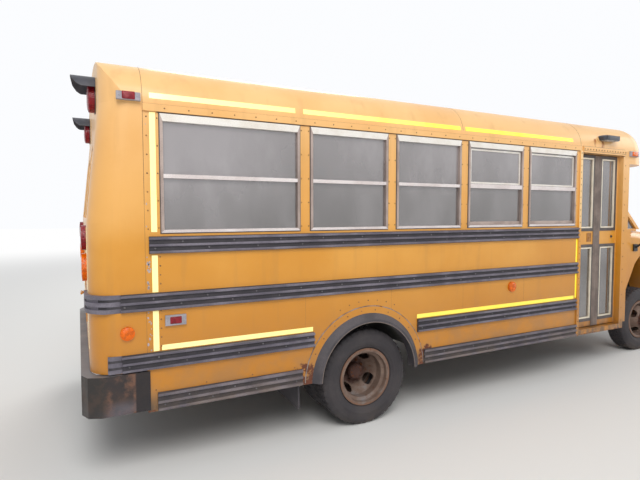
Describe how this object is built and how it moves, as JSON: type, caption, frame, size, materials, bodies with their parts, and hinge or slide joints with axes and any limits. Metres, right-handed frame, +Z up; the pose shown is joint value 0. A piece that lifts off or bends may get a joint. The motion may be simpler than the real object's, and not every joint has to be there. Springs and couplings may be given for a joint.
{
  "type": "small school bus on a van chassis",
  "caption": "Small school bus: arched steel body with side windows, two-leaf entrance, rear emergency door, twin rear wheels and a van's cab and hood.",
  "frame": {"origin": "on the ground, under the middle of the overall box", "axes": "+X forward, +Y to the driver's left, +Z up"},
  "size_m": [6.7328, 2.67, 2.68],
  "materials": {
    "body_paint": "weathered yellow-orange enamel, faded on the roof, with grime low down",
    "window_aluminium": "dull anodised window rails",
    "tinted_glass": "dark tinted safety glass",
    "black_paint": "black painted ribbed steel, chalky with age",
    "black_rubber": "weathered black rubber",
    "floor_cover": "ribbed rubber floor cover over plywood and steel",
    "chassis_paint": "black chassis paint with rust",
    "cast_parts": "dark cast and forged parts with surface rust",
    "bare_steel": "dull steel with rust stains",
    "bumper_steel": "dark painted steel, rusted and scuffed",
    "wheel_paint": "pale wheel paint stained by rust",
    "tyre_rubber": "dusty black road tyre",
    "lamp_plastic": "red and amber lenses in black and grey housings",
    "grille_plastic": "dark grey moulded grille",
    "cab_plastic": "grey cab trim",
    "seat_vinyl": "grey-green vinyl bench covers",
    "mirror_housing": "black mirror housings and arms"
  },
  "bodies": {
    "bus": {"side_wall_right": "body_paint", "side_wall_left": "body_paint", "rear_shell": "body_paint", "roof": "body_paint", "front_cap": "body_paint", "cab_shell": "body_paint", "front_fenders": "body_paint", "window_frames": "window_aluminium", "fixed_glass": "tinted_glass", "rub_rails": "black_paint", "arch_rubber": "black_rubber", "floor": "floor_cover", "chassis_frame": "chassis_paint", "rear_axle": "cast_parts", "front_axle": "cast_parts", "engine_and_shaft": "cast_parts", "fuel_tank": "bare_steel", "exhaust": "bare_steel", "rear_bumper": "bumper_steel", "front_bumper": "bumper_steel", "lamps": "lamp_plastic", "grille": "grille_plastic", "cab_interior": "cab_plastic", "seats": "seat_vinyl", "mirrors": "mirror_housing"},
    "hood": {"hood": "body_paint"},
    "driver_door": {"driver_door": "body_paint", "driver_door_glass": "tinted_glass"},
    "entrance_leaf_rear": {"entrance_leaf_rear": "body_paint", "entrance_glass_rear": "tinted_glass"},
    "entrance_leaf_front": {"entrance_leaf_front": "body_paint", "entrance_glass_front": "tinted_glass"},
    "emergency_door": {"emergency_door": "body_paint", "emergency_door_glass": "tinted_glass"},
    "steering_wheel": {"steering_wheel": "cab_plastic"},
    "knuckle_left": {"knuckle_left": "cast_parts"},
    "knuckle_right": {"knuckle_right": "cast_parts"},
    "front_wheel_left": {"front_rim_left": "wheel_paint", "front_tyre_left": "tyre_rubber"},
    "front_wheel_right": {"front_rim_right": "wheel_paint", "front_tyre_right": "tyre_rubber"},
    "rear_wheels_left": {"rear_rims_left": "wheel_paint", "rear_tyres_left": "tyre_rubber"},
    "rear_wheels_right": {"rear_rims_right": "wheel_paint", "rear_tyres_right": "tyre_rubber"}
  },
  "joints": [
    {"name": "steering_wheel_turn", "type": "hinge", "parent": "bus", "child": "steering_wheel", "pos_m": [1.9995, 0.48, 1.368], "axis": [0.7219, 0, -0.6919], "range_deg": [-540, 540]},
    {"name": "knuckle_left_turn", "type": "hinge", "parent": "bus", "child": "knuckle_left", "pos_m": [2.6215, 0.77, 0.37], "axis": [0, 0, 1], "range_deg": [-32, 32]},
    {"name": "knuckle_right_turn", "type": "hinge", "parent": "bus", "child": "knuckle_right", "pos_m": [2.6215, -0.77, 0.37], "axis": [0, 0, 1], "range_deg": [-32, 32]},
    {"name": "front_wheel_left_spin", "type": "hinge", "parent": "knuckle_left", "child": "front_wheel_left", "pos_m": [2.6215, 0.86, 0.37], "axis": [0, 1, 0], "continuous": true},
    {"name": "front_wheel_right_spin", "type": "hinge", "parent": "knuckle_right", "child": "front_wheel_right", "pos_m": [2.6215, -0.86, 0.37], "axis": [0, 1, 0], "continuous": true},
    {"name": "rear_wheels_left_spin", "type": "hinge", "parent": "bus", "child": "rear_wheels_left", "pos_m": [-1.3905, 0.957, 0.37], "axis": [0, 1, 0], "continuous": true},
    {"name": "rear_wheels_right_spin", "type": "hinge", "parent": "bus", "child": "rear_wheels_right", "pos_m": [-1.3905, -0.957, 0.37], "axis": [0, 1, 0], "continuous": true},
    {"name": "hood_hinge", "type": "hinge", "parent": "bus", "child": "hood", "pos_m": [2.6135, 0, 1.438], "axis": [0, -1, 0], "range_deg": [0, 55]},
    {"name": "driver_door_hinge", "type": "hinge", "parent": "bus", "child": "driver_door", "pos_m": [2.2695, 1.008, 1.178], "axis": [0, 0, -1], "range_deg": [0, 70]},
    {"name": "entrance_rear_hinge", "type": "hinge", "parent": "bus", "child": "entrance_leaf_rear", "pos_m": [1.0765, -1.159, 1.344], "axis": [0, 0, -1], "range_deg": [0, 90]},
    {"name": "entrance_front_hinge", "type": "hinge", "parent": "bus", "child": "entrance_leaf_front", "pos_m": [1.7375, -1.159, 1.344], "axis": [0, 0, 1], "range_deg": [0, 90]},
    {"name": "emergency_door_hinge", "type": "hinge", "parent": "bus", "child": "emergency_door", "pos_m": [-3.3005, -0.452, 1.463], "axis": [0, 0, 1], "range_deg": [0, 110]}
  ],
  "couplings": [
    {"joint": "knuckle_left_turn", "follows": "steering_wheel_turn", "ratio": -0.059259},
    {"joint": "knuckle_right_turn", "follows": "steering_wheel_turn", "ratio": -0.059259},
    {"joint": "entrance_front_hinge", "follows": "entrance_rear_hinge", "ratio": 1}
  ]
}
